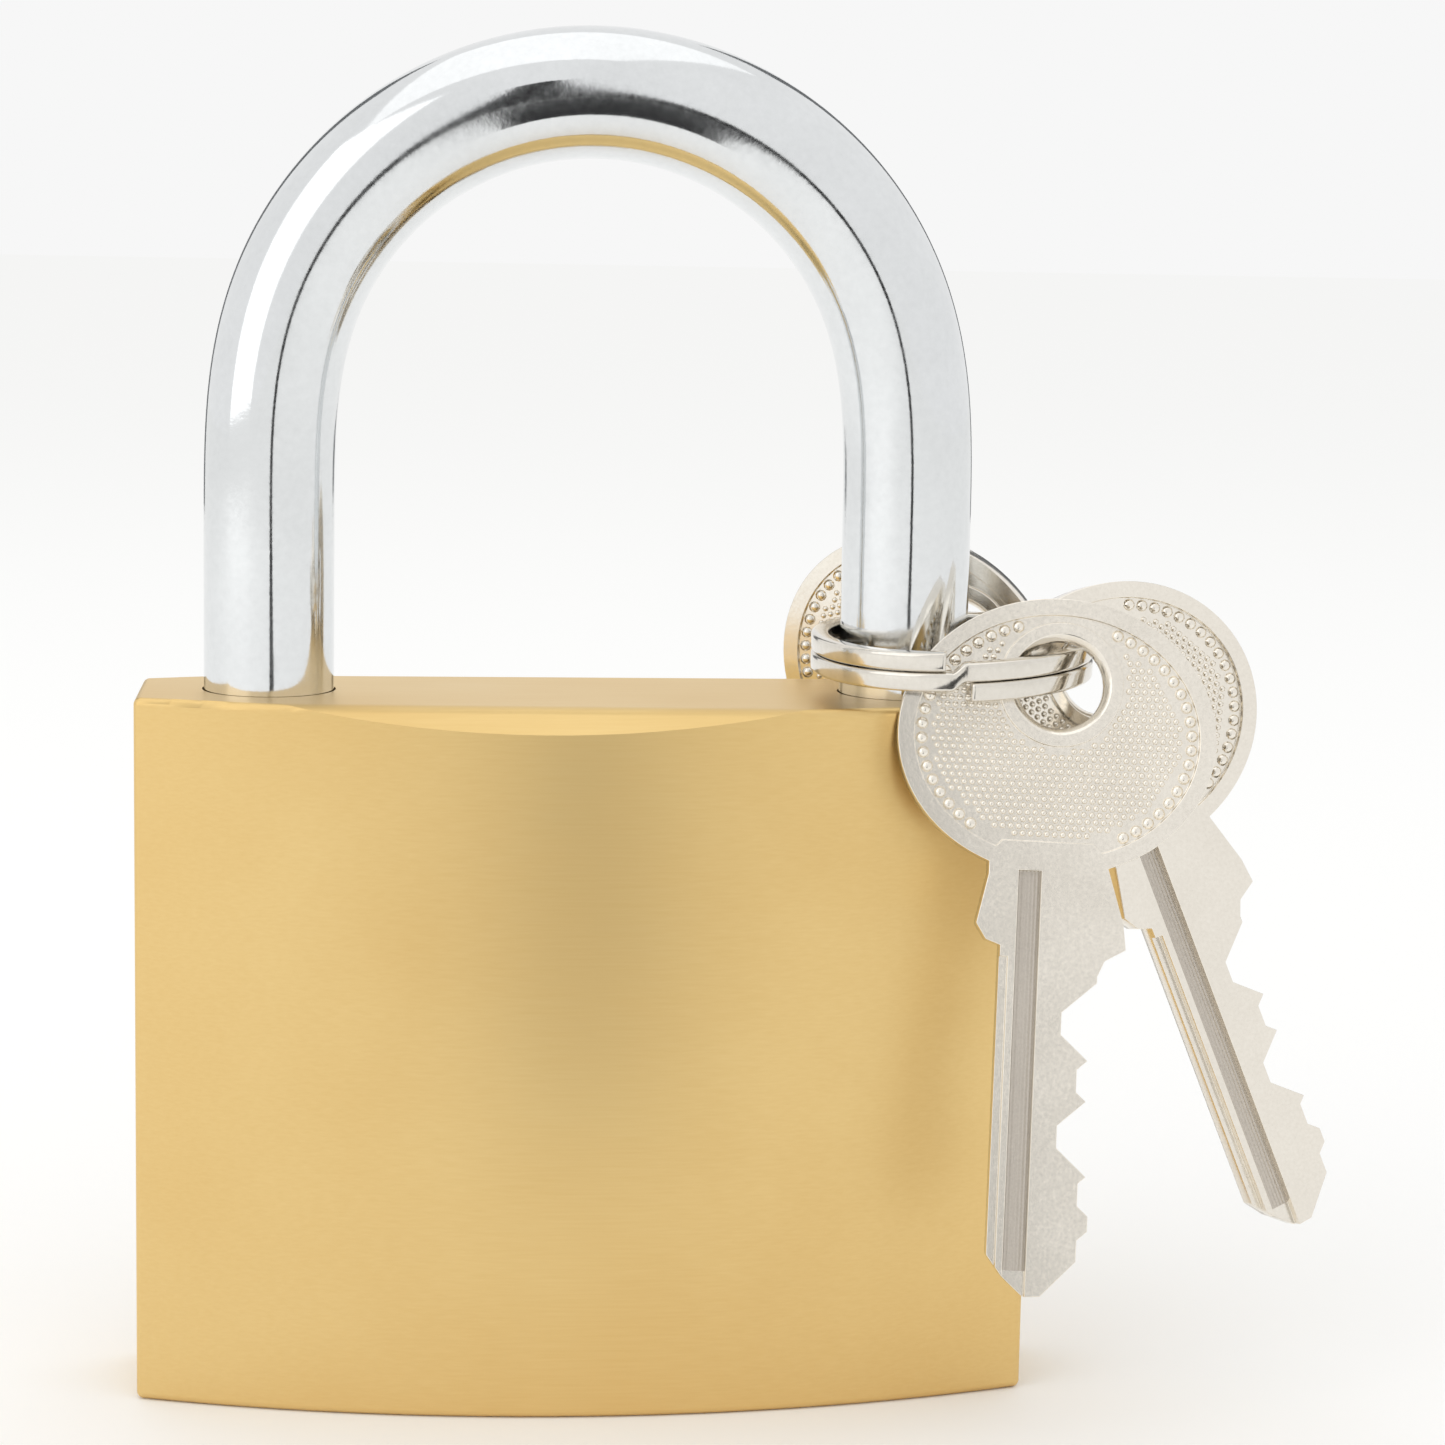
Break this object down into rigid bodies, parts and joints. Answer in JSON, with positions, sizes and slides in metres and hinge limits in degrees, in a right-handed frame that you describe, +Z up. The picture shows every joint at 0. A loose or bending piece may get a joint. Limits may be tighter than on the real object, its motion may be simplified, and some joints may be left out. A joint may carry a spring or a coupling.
{
  "type": "padlock",
  "caption": "Brass pin-tumbler padlock with a lens-section block body, chrome bar shackle, split ring and keys hung on one shackle leg.",
  "frame": {"origin": "centre of the body's flat bottom face", "axes": "+Z up from the bottom face towards the shackle, X along the body's width with the heel leg and the ring at +X, front face towards -Y"},
  "size_m": [0.0666, 0.0316, 0.0763],
  "materials": {
    "brass": "satin brushed and lacquered brass",
    "plug_brass": "turned brass",
    "pin_brass": "turned brass",
    "chrome": "polished chrome plate on hardened steel",
    "nickel": "nickel-plated steel",
    "steel": "plain turned steel",
    "spring_steel": "drawn spring wire"
  },
  "bodies": {
    "case": {"lock_body": "brass", "heel_retaining_pin": "steel", "plug_retaining_pin": "steel", "bolt_bore_plug": "brass", "chamber_plugs": "brass", "shackle_spring": "spring_steel", "pin_spring_1": "spring_steel", "pin_spring_2": "spring_steel", "pin_spring_3": "spring_steel", "pin_spring_4": "spring_steel", "pin_spring_5": "spring_steel"},
    "shackle": {"shackle": "chrome"},
    "plug": {"plug": "plug_brass"},
    "toe_bolt": {"toe_bolt": "steel", "bolt_spring_1": "spring_steel"},
    "heel_bolt": {"heel_bolt": "steel", "bolt_spring_2": "spring_steel"},
    "key_pin_1": {"key_pin_1": "pin_brass"},
    "driver_pin_1": {"driver_pin_1": "pin_brass"},
    "key_pin_2": {"key_pin_2": "pin_brass"},
    "driver_pin_2": {"driver_pin_2": "pin_brass"},
    "key_pin_3": {"key_pin_3": "pin_brass"},
    "driver_pin_3": {"driver_pin_3": "pin_brass"},
    "key_pin_4": {"key_pin_4": "pin_brass"},
    "driver_pin_4": {"driver_pin_4": "pin_brass"},
    "key_pin_5": {"key_pin_5": "pin_brass"},
    "driver_pin_5": {"driver_pin_5": "pin_brass"},
    "ring": {"split_ring": "nickel"},
    "key_1": {"key_1": "nickel"},
    "key_2": {"key_2": "nickel"},
    "key_3": {"key_3": "nickel"}
  },
  "joints": [
    {"name": "shackle_lift", "type": "slide", "parent": "case", "child": "shackle", "axis": [0, 0, 1], "range_m": [0, 0.0145], "deforming": ["shackle_spring"]},
    {"name": "plug_turn", "type": "hinge", "parent": "case", "child": "plug", "pos_m": [0, 0, 0.01], "axis": [0, 0, 1], "range_deg": [0, 90]},
    {"name": "toe_bolt_draw", "type": "slide", "parent": "case", "child": "toe_bolt", "axis": [1, 0, 0], "range_m": [-0.00205, 0], "stiffness_N_per_m": 250, "springref_m": -0.006, "deforming": ["bolt_spring_1", "bolt_spring_2"]},
    {"name": "heel_bolt_draw", "type": "slide", "parent": "case", "child": "heel_bolt", "axis": [-1, 0, 0], "range_m": [-0.00205, 0], "stiffness_N_per_m": 250, "springref_m": -0.006},
    {"name": "key_pin_1_slide", "type": "slide", "parent": "plug", "child": "key_pin_1", "axis": [-1, 0, 0], "range_m": [-0.0012, 0]},
    {"name": "driver_pin_1_slide", "type": "slide", "parent": "case", "child": "driver_pin_1", "axis": [-1, 0, 0], "range_m": [-0.0012, 0], "stiffness_N_per_m": 60, "springref_m": -0.006, "deforming": ["pin_spring_1"]},
    {"name": "key_pin_2_slide", "type": "slide", "parent": "plug", "child": "key_pin_2", "axis": [-1, 0, 0], "range_m": [-0.00215, 0]},
    {"name": "driver_pin_2_slide", "type": "slide", "parent": "case", "child": "driver_pin_2", "axis": [-1, 0, 0], "range_m": [-0.00215, 0], "stiffness_N_per_m": 60, "springref_m": -0.006, "deforming": ["pin_spring_2"]},
    {"name": "key_pin_3_slide", "type": "slide", "parent": "plug", "child": "key_pin_3", "axis": [-1, 0, 0], "range_m": [-0.0012, 0]},
    {"name": "driver_pin_3_slide", "type": "slide", "parent": "case", "child": "driver_pin_3", "axis": [-1, 0, 0], "range_m": [-0.0012, 0], "stiffness_N_per_m": 60, "springref_m": -0.006, "deforming": ["pin_spring_3"]},
    {"name": "key_pin_4_slide", "type": "slide", "parent": "plug", "child": "key_pin_4", "axis": [-1, 0, 0], "range_m": [-0.00245, 0]},
    {"name": "driver_pin_4_slide", "type": "slide", "parent": "case", "child": "driver_pin_4", "axis": [-1, 0, 0], "range_m": [-0.00245, 0], "stiffness_N_per_m": 60, "springref_m": -0.006, "deforming": ["pin_spring_4"]},
    {"name": "key_pin_5_slide", "type": "slide", "parent": "plug", "child": "key_pin_5", "axis": [-1, 0, 0], "range_m": [-0.0025, 0]},
    {"name": "driver_pin_5_slide", "type": "slide", "parent": "case", "child": "driver_pin_5", "axis": [-1, 0, 0], "range_m": [-0.0025, 0], "stiffness_N_per_m": 60, "springref_m": -0.006, "deforming": ["pin_spring_5"]},
    {"name": "ring_slide", "type": "slide", "parent": "case", "child": "ring", "axis": [0, 0, 1], "range_m": [0, 0.009]},
    {"name": "key_1_swing", "type": "hinge", "parent": "ring", "child": "key_1", "pos_m": [0.02536, -0.00765, 0.04104], "axis": [-0.0681, -0.9739, 0.2164], "range_deg": [0, 35]},
    {"name": "key_2_swing", "type": "hinge", "parent": "ring", "child": "key_2", "pos_m": [0.02814, -0.00419, 0.04138], "axis": [0.2376, -0.9528, 0.1891], "range_deg": [-2, 60]},
    {"name": "key_3_swing", "type": "hinge", "parent": "ring", "child": "key_3", "pos_m": [0.0219, 0.00668, 0.04174], "axis": [-0.3535, -0.9354, -0.0087], "range_deg": [-20, 60]}
  ],
  "couplings": [
    {"joint": "heel_bolt_draw", "follows": "toe_bolt_draw", "ratio": 1},
    {"joint": "driver_pin_1_slide", "follows": "key_pin_1_slide", "ratio": 1},
    {"joint": "driver_pin_2_slide", "follows": "key_pin_2_slide", "ratio": 1},
    {"joint": "driver_pin_3_slide", "follows": "key_pin_3_slide", "ratio": 1},
    {"joint": "driver_pin_4_slide", "follows": "key_pin_4_slide", "ratio": 1},
    {"joint": "driver_pin_5_slide", "follows": "key_pin_5_slide", "ratio": 1}
  ]
}
